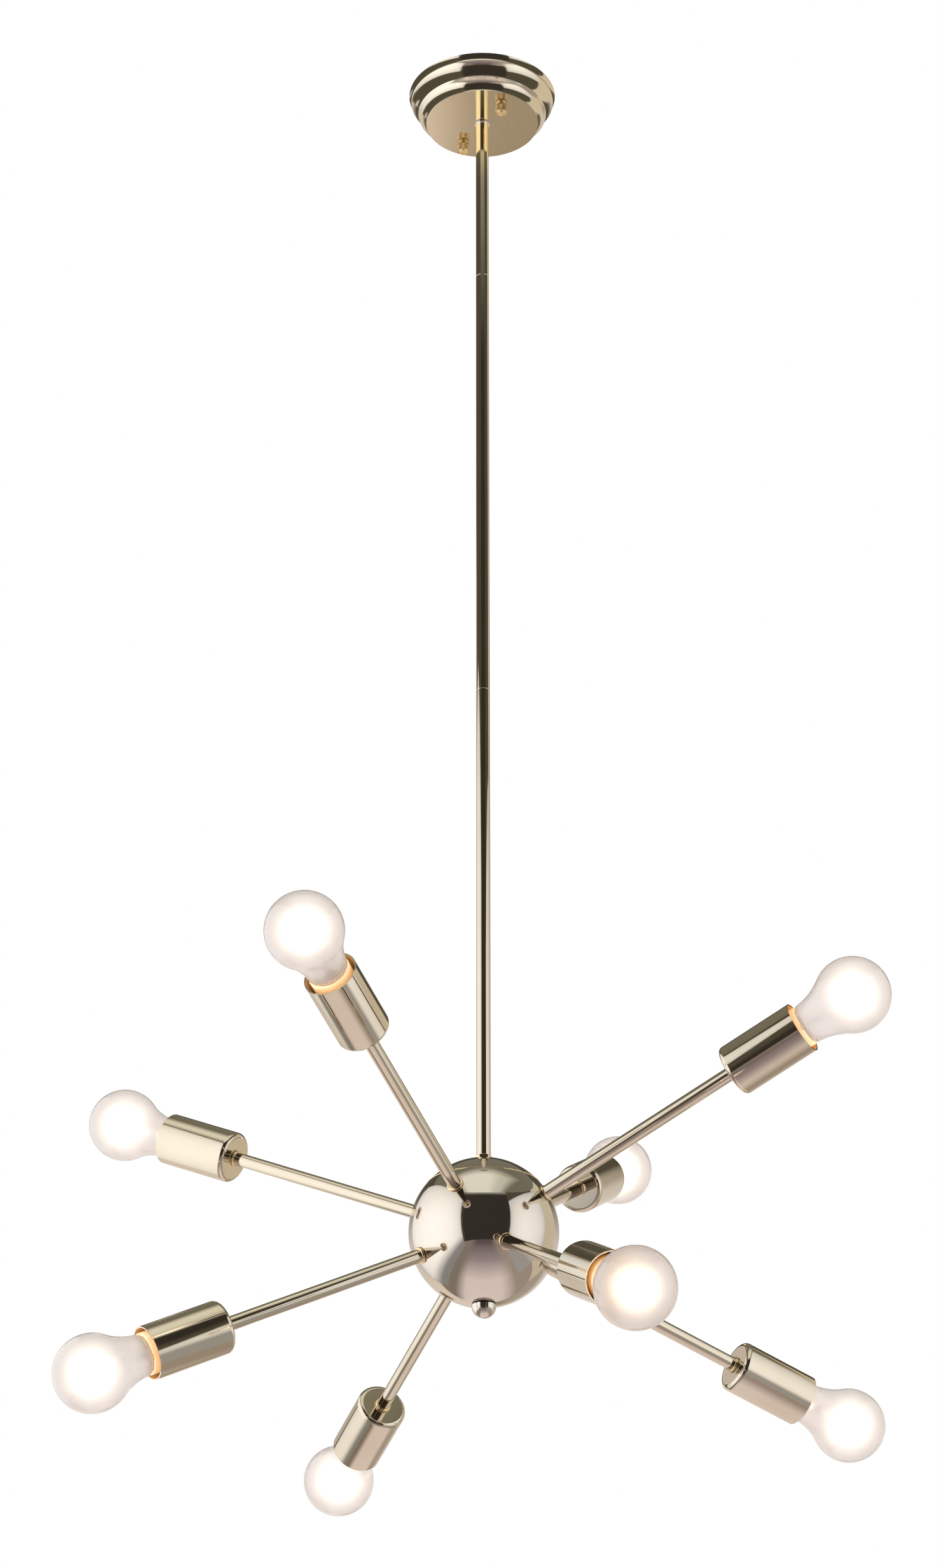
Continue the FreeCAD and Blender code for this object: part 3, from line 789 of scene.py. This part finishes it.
def turned(name, outline, materials, steps=64, rows=None, closed=False):
    """Turns (radius, height) points about Z. rows gives each stretch's material slot."""
    points, rings = [], []
    for radius, height in outline:
        if radius < ON_AXIS:
            rings.append([len(points)] * steps)
            points.append((0, 0, height))
            continue
        rings.append(list(range(len(points), len(points) + steps)))
        for i in range(steps):
            turn = 2 * math.pi * i / steps
            points.append((radius * math.cos(turn), radius * math.sin(turn), height))
    if closed:
        rings.append(rings[0])
    faces, slots = [], []
    for row in range(len(rings) - 1):
        for i in range(steps):
            near, far = rings[row], rings[row + 1]
            after = (i + 1) % steps
            corners = dict.fromkeys((near[i], far[i], far[after], near[after]))
            if len(corners) > 2:
                faces.append(tuple(corners))
                slots.append(rows[row] if rows else 0)
    return solid(name, points, faces, materials, slots)


def threaded(name, radius, depth, pitch, low, high, material, steps=48, per_pitch=10):
    """A screw thread between two heights, faded out at both ends, with its ends closed."""
    rows = max(2, round((high - low) / pitch * per_pitch))
    points, faces = [], []
    for row in range(rows + 1):
        height = low + (high - low) * row / rows
        fade = min(1, (height - low) / pitch, (high - height) / pitch)
        for i in range(steps):
            turn = 2 * math.pi * i / steps
            wave = 0.5 - 0.5 * math.cos(2 * math.pi * height / pitch - turn)
            reach = radius - depth * wave * fade
            points.append((reach * math.cos(turn), reach * math.sin(turn), height))
    for row in range(rows):
        for i in range(steps):
            near, after = row * steps, (i + 1) % steps
            faces.append((near + i, near + after, near + steps + after, near + steps + i))
    faces.append(tuple(reversed(range(steps))))
    faces.append(tuple(range(rows * steps, (rows + 1) * steps)))
    return solid(name, points, faces, [material])


def as_mesh(shown):
    """Turns a curve into a mesh of the same name."""
    mesh = bpy.data.meshes.new_from_object(shown.evaluated_get(bpy.context.evaluated_depsgraph_get()))
    name, data = shown.name, shown.data
    bpy.data.objects.remove(shown)
    bpy.data.curves.remove(data)
    mesh.name = name
    mesh.polygons.foreach_set("use_smooth", [True] * len(mesh.polygons))
    return link(bpy.data.objects.new(name, mesh))


def wire(name, points, thickness, material):
    """A round wire through a list of points, as a mesh."""
    curve = bpy.data.curves.new(name, "CURVE")
    curve.dimensions = "3D"
    curve.bevel_depth = thickness / 2
    curve.bevel_resolution = 2
    curve.use_fill_caps = True
    line = curve.splines.new("POLY")
    line.points.add(len(points) - 1)
    for point, place in zip(line.points, points):
        point.co = tuple(place) + (1,)
    curve.materials.append(material)
    return as_mesh(link(bpy.data.objects.new(name, curve)))


# ---------------------------------------------------------------- places along the arms


def aim_of(index):
    return AIMS["bulb_%d_out" % index]


def arm_frame(index, distance):
    """The placement of something drawn about Z, at a distance along an arm from the ball's centre."""
    aim = aim_of(index)
    turn = Vector((0, 0, 1)).rotation_difference(aim).to_matrix().to_4x4()
    return Matrix.Translation(BALL + aim * distance) @ turn


def span(node, index):
    """How near and far a node lies along its arm, and how far out from the arm's axis."""
    aim = aim_of(index)
    along, out = [], []
    for vertex in NODES[node].data.vertices:
        offset = vertex.co - BALL
        reach = offset.dot(aim)
        along.append(reach)
        out.append((offset - aim * reach).length)
    return min(along), max(along), max(out)


# ---------------------------------------------------------------- bulb glass

BULB_WAIST = 46 * MM
BULB_WAIST_R = 16.1 * MM
BULB_FOOT_ROUND = 2.6 * MM
BULB_GLASS_T = 0.9 * MM
BULB_GLASS_LIP = 1.2 * MM
CROWN_STEPS = 40
WAIST_STEPS = 22
FOOT_STEPS = 8


def bulb_skin(crown, foot, inset):
    """The skin's (radius, height) points from tip to foot, about the crown's centre, moved in by inset."""
    waist_r = (BULB_WAIST ** 2 / (crown - BULB_WAIST_R) - crown - BULB_WAIST_R) / 2
    waist = (BULB_WAIST_R + waist_r, -BULB_WAIST)
    join = math.degrees(math.atan2(-BULB_WAIST, waist[0]))
    reach = waist_r + BULB_FOOT_ROUND
    drop = math.asin((waist[1] - foot - BULB_FOOT_ROUND) / reach)
    rounding = (waist[0] - math.cos(drop) * reach, waist[1] - math.sin(drop) * reach)
    turn = math.degrees(drop)
    points = arc((0, 0), crown - inset, 90, join, CROWN_STEPS)
    points += arc(waist, waist_r + inset, 180 + join, 180 + turn, WAIST_STEPS)[1:]
    points += arc(rounding, BULB_FOOT_ROUND - inset, turn, -90, FOOT_STEPS)[1:]
    points[0] = (0, crown - inset)
    return points


def glass(index, crown, foot, materials):
    """The bulb's skin: clear outside and frosted inside, and open at the foot."""
    outer = bulb_skin(crown, foot, 0)
    inner = bulb_skin(crown, foot, BULB_GLASS_T)
    lip = outer[-1][0] - BULB_GLASS_LIP
    outline = outer + [(lip, outer[-1][1]), (lip, inner[-1][1])] + inner[::-1]
    clear = len(outer) + 1
    rows = [0] * clear + [1] * (len(outline) - clear)
    skin = turned("glass_%d" % index, outline, materials, steps=96, rows=rows)
    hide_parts("bulb_glass_%d" % index)
    return skin


# ---------------------------------------------------------------- bulb base

BASE_BARREL = 24.0 * MM
BASE_SKIRT = 4.0 * MM
BASE_SKIRT_CHAMFER = 0.5 * MM
BASE_BUTTON_H = 1.5 * MM
BASE_TIP_R = 4.6 * MM
BASE_TIP_STEPS = 6
BASE_CONE_WAIST = 0.72
EDISON_PITCH = 3.629 * MM
EDISON_DEPTH = 0.75 * MM


def base_skirt(index, radius, head, metal, cement):
    """The plain skirt, with the cement that shows round the glass."""
    shoulder = head - BASE_SKIRT_CHAMFER
    outline = [(0, head), (radius - BASE_SKIRT_CHAMFER, head), (radius, shoulder)]
    outline += [(radius, head - BASE_SKIRT), (0, head - BASE_SKIRT)]
    return turned("base_skirt_%d" % index, outline, [metal, cement], rows=[1, 0, 0, 0])


def base_screw(index, radius, head, metal):
    """The rolled thread."""
    low, high = head - BASE_BARREL, head - BASE_SKIRT
    screw = threaded("base_screw_%d" % index, radius, EDISON_DEPTH, EDISON_PITCH, low, high, metal)
    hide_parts("bulb_base_%d" % index)
    return screw


def base_cone(index, radius, top, low, cone_glass):
    """The black glass cone between the thread and the contact button."""
    outline = [(0, top), (radius, top), (radius * BASE_CONE_WAIST, (top + low) / 2)]
    outline += [(BASE_TIP_R, low), (0, low)]
    return turned("base_cone_%d" % index, outline, [cone_glass])


def base_tip(index, foot, tin):
    """The soldered contact button."""
    top = foot + BASE_BUTTON_H
    side = arc((BASE_TIP_R - BASE_BUTTON_H, top), BASE_BUTTON_H, 0, -90, BASE_TIP_STEPS)
    outline = [(0, top), (BASE_TIP_R, top)] + side[1:] + [(0, foot)]
    return turned("base_tip_%d" % index, outline, [tin])


def base(index, radius, head, foot, materials):
    """The screw base from its head, at the glass, to its foot."""
    metal, cement, cone_glass, tin = materials
    barrel_r = radius - EDISON_DEPTH / 2
    return [
        base_skirt(index, barrel_r, head, metal, cement),
        base_screw(index, radius, head, metal),
        base_cone(index, barrel_r, head - BASE_BARREL, foot + BASE_BUTTON_H, cone_glass),
        base_tip(index, foot, tin),
    ]


# ---------------------------------------------------------------- inside of the bulb

# Rises are heights above the glass's foot. Other heights are about the crown's centre.
STEM_FLARE_R = 9.0 * MM
STEM_FLARE_RISE = 1.5 * MM
STEM_NECK_R = 5.5 * MM
STEM_NECK_RISE = 6.0 * MM
STEM_TUBE_R = 4.0 * MM
STEM_TUBE_RISE = 11.0 * MM
STEM_PINCH_R = 3.2 * MM
STEM_PINCH = 2.0 * MM
STEM_TIP_R = 1.8 * MM
STEM_TIP_ROUND = 0.5 * MM
STEM_TOP = -20.0 * MM
LEAD_FOOT_RISE = 3.0 * MM
LEAD_FROM_AXIS = 1.5 * MM
LEAD_BEND_SPREAD = 7.2 * MM
LEAD_BEND = -10.0 * MM
LEAD_SPREAD = 12.0 * MM
LEAD_TOP = 4.0 * MM
LEAD_T = 0.6 * MM
COIL_R = 0.7 * MM
COIL_T = 0.3 * MM
COIL_BOW = 1.2 * MM
COIL_TURNS = 34
COIL_STEPS = 10


def stem(index, foot, material):
    """The glass stem: a flare at the foot and a tube pinched at the top."""
    outline = [
        (0, foot + STEM_FLARE_RISE),
        (STEM_FLARE_R, foot + STEM_FLARE_RISE),
        (STEM_NECK_R, foot + STEM_NECK_RISE),
        (STEM_TUBE_R, foot + STEM_TUBE_RISE),
        (STEM_PINCH_R, STEM_TOP - STEM_PINCH),
        (STEM_TIP_R, STEM_TOP),
        (0, STEM_TOP + STEM_TIP_ROUND),
    ]
    return turned("stem_%d" % index, outline, [material], steps=32)


def leads(index, foot, material):
    """The two wires that run up the stem and hold the filament."""
    wires = []
    for letter, side in (("a", 1), ("b", -1)):
        points = [
            (side * LEAD_FROM_AXIS, 0, foot + LEAD_FOOT_RISE),
            (side * LEAD_FROM_AXIS, 0, STEM_TOP),
            (side * LEAD_BEND_SPREAD, 0, LEAD_BEND),
            (side * LEAD_SPREAD, 0, LEAD_TOP - COIL_R),
        ]
        wires.append(wire("lead_%d_%s" % (index, letter), points, LEAD_T, material))
    return wires


def filament(index, material):
    """The coiled filament, bowed a little between its leads."""
    points = []
    steps = COIL_TURNS * COIL_STEPS
    for i in range(steps + 1):
        turn = 2 * math.pi * i / COIL_STEPS
        part = i / steps
        bow = COIL_BOW * math.sin(math.pi * part)
        x = LEAD_SPREAD * (2 * part - 1)
        y = COIL_R * math.cos(turn) + bow
        z = LEAD_TOP + COIL_R * math.sin(turn) + bow
        points.append((x, y, z))
    return wire("filament_%d" % index, points, COIL_T, material)


# ---------------------------------------------------------------- whole bulbs

LIGHT_R = 18 * MM
LIGHT_RADIANCE = 1.30
LIGHT_COLOUR = (1.0, 0.86, 0.66)


def bulb_light(index):
    """The light inside a bulb. A ball of one radiance gives 4 pi squared times its radius squared."""
    data = bpy.data.lights.new("bulb_light_%d" % index, "POINT")
    data.shadow_soft_size = LIGHT_R
    data.energy = LIGHT_RADIANCE * 4 * (math.pi * LIGHT_R) ** 2
    data.color = LIGHT_COLOUR
    return link(bpy.data.objects.new("bulb_light_%d" % index, data))


def bulb(index, looks):
    """Everything that moves with one bulb, drawn about the centre of its crown."""
    near, far, crown = span("bulb_glass_%d" % index, index)
    base_near, base_far, base_r = span("bulb_base_%d" % index, index)
    centre = far - crown
    foot = near - centre
    glass_pieces = [glass(index, crown, foot, looks["glass"])]
    base_pieces = base(index, base_r, base_far - centre, base_near - centre, looks["base"])
    glass_pieces.append(stem(index, foot, looks["stem"]))
    glass_pieces += leads(index, foot, looks["lead"])
    glass_pieces.append(filament(index, looks["filament"]))
    for piece in glass_pieces + base_pieces + [bulb_light(index)]:
        piece.matrix_world = arm_frame(index, centre)
        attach(piece, "bulb_%d" % index)


# ---------------------------------------------------------------- cup linings that glow with painted bulb light, ball seam with a painted highlight, and studs

LINING_IN_CUP = 1.06 * MM
LINING_T = 0.08 * MM
LINING_FROM_MOUTH = 0.5 * MM
LINING_DEPTH = 18 * MM


def cup_glow_lining(index, material):
    """A warm face just inside a cup's mouth, painted to glow as if the bulb's light fell there."""
    _, mouth, cup_r = span("cup_%d" % index, index)
    outer = cup_r - LINING_IN_CUP
    inner = outer - LINING_T
    near, far = -LINING_DEPTH, -LINING_FROM_MOUTH
    outline = [(outer, near), (inner, near), (inner, far), (outer, far)]
    lining = turned("cup_lining_%d" % index, outline, [material], closed=True)
    lining.matrix_world = arm_frame(index, mouth)
    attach(lining, "fixture")


SEAM_RISE = 39.4 * MM
SEAM_R = 0.32 * MM
SEAM_SIDES = 12


def ball_seam(material):
    """The rolled edge where the ball's cap meets its shell, in a brighter gold that is a painted
    highlight.
    """
    ball_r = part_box("ball_shell")[1].x
    centre = (math.sqrt(ball_r ** 2 - SEAM_RISE ** 2), SEAM_RISE)
    outline = arc(centre, SEAM_R, 0, FULL_TURN / SEAM_SIDES - FULL_TURN, SEAM_SIDES - 1)
    seam = turned("ball_seam", outline, [material], steps=128, closed=True)
    seam.location = BALL
    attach(seam, "fixture")


STUD_PITCH = 0.8 * MM
STUD_THREAD_DEPTH = 0.35 * MM


def studs(material):
    """Threaded studs in place of the plain ones."""
    low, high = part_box("canopy_studs")
    for number in CAP_NUTS:
        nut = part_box("cap_nut_%d" % number)
        centre = (nut[0] + nut[1]) / 2
        radius = high.x - abs(centre.x)
        thread = dict(radius=radius, depth=STUD_THREAD_DEPTH, pitch=STUD_PITCH, low=0, high=high.z - low.z)
        stud = threaded("stud_%d" % number, material=material, steps=20, per_pitch=6, **thread)
        stud.location = (centre.x, centre.y, low.z)
        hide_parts("canopy_studs")
        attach(stud, "fixture")


# ---------------------------------------------------------------- the whole lamp

PALE_GOLD = (0.660, 0.582, 0.462)
WARM_NICKEL = (0.670, 0.605, 0.530)
CANOPY_NICKEL = (0.765, 0.675, 0.535)
RING_NICKEL = (0.86, 0.81, 0.79)
BRIGHT_GOLD = (1.0, 0.83, 0.48)
# The seam's gold is a painted highlight, brighter than the ball's own metal.
SEAM_HIGHLIGHT_GOLD = (0.95, 0.74, 0.40)
COLLAR_GOLD = (0.82, 0.66, 0.42)
BRASS = (0.92, 0.70, 0.38)
BRASS_DUST = (0.60, 0.42, 0.20)
CONTACT_BRASS = (0.80, 0.60, 0.30)
ZINC = (0.60, 0.60, 0.57)
GROUND_GREEN = (0.05, 0.25, 0.10)
ALUMINIUM = (0.80, 0.79, 0.76)
LEAD_NICKEL = (0.62, 0.60, 0.56)

# The heights between which the top rod turns golden.
GOLDEN_RISE = (-0.095, -0.065)
# The rods' polishing marks run along them.
ALONG_ROD = (1, 1, 0.04)


def node_looks():
    """Looks for the CAD nodes, each under the name of a node or of a material slot."""
    rim = span("lampholder_1", 1)[1]
    top_rod = polished("rod_top_metal", PALE_GOLD, grain=ALONG_ROD)
    return {
        "canopy_metal": spun("canopy_metal", CANOPY_NICKEL),
        "rod_metal": polished("rod_metal", PALE_GOLD, grain=ALONG_ROD),
        "rod_top": deeper_near_top(top_rod, BRIGHT_GOLD, *GOLDEN_RISE),
        "arm_metal": polished("arm_metal", PALE_GOLD),
        "cup_metal": polished("cup_metal", PALE_GOLD, roughness=0.05, haze=0.04),
        "ball_metal": polished("ball_metal", WARM_NICKEL, roughness=0.045, haze=0.03),
        "finial_metal": polished("finial_metal", WARM_NICKEL, roughness=0.05),
        "canopy_ring": polished("ring_metal", RING_NICKEL, roughness=0.06),
        "collar_metal": polished("collar_metal", COLLAR_GOLD, roughness=0.07),
        "knurled_brass": knurled("knurled_brass", BRASS, BRASS_DUST),
        "zinc_steel": plated_steel("zinc_steel", ZINC),
        "green_steel": painted("green_steel", GROUND_GREEN),
        "holder_ceramic": glazed_ceramic(rim),
        "contact_brass": polished("contact_brass", CONTACT_BRASS, roughness=0.15, haze=0.12),
    }


def bulb_looks():
    aluminium = polished("base_metal", ALUMINIUM, roughness=0.18, haze=0.12)
    clear = bulb_glass_material("clear_glass", GLASS_TINT, roughness=0.12, glow=0)
    frosted = bulb_glass_material("frosted_glass", FROST_TINT, roughness=0.62, glow=0.085)
    return {
        "glass": [clear, frosted],
        "base": [aluminium, base_cement(), black_glass(), solder()],
        "stem": bulb_glass_material("stem_glass", GLASS_TINT, roughness=0.35, glow=0),
        "lead": polished("lead_metal", LEAD_NICKEL, roughness=0.2, haze=0.1),
        "filament": filament_material(),
    }


def dress_nodes(looks):
    """Gives every CAD node the look under its own name, or else the one of its material slot."""
    for part in frame["record"]["subparts"]:
        look = looks.get(part["node"], looks.get(part["material_slot"]))
        if look:
            mesh = NODES[part["node"]].data
            mesh.materials.clear()
            mesh.materials.append(look)


def lamp():
    looks = node_looks()
    dress_nodes(looks)
    studs(looks["zinc_steel"])
    ball_seam(polished("seam_highlight_metal", SEAM_HIGHLIGHT_GOLD, roughness=0.08))
    lit = bulb_looks()
    lining = bulb_glow_lining()
    for index in ARMS:
        bulb(index, lit)
        cup_glow_lining(index, lining)


bpy.context.scene.view_settings.view_transform = "Standard"
camera()
studio()
lamp()
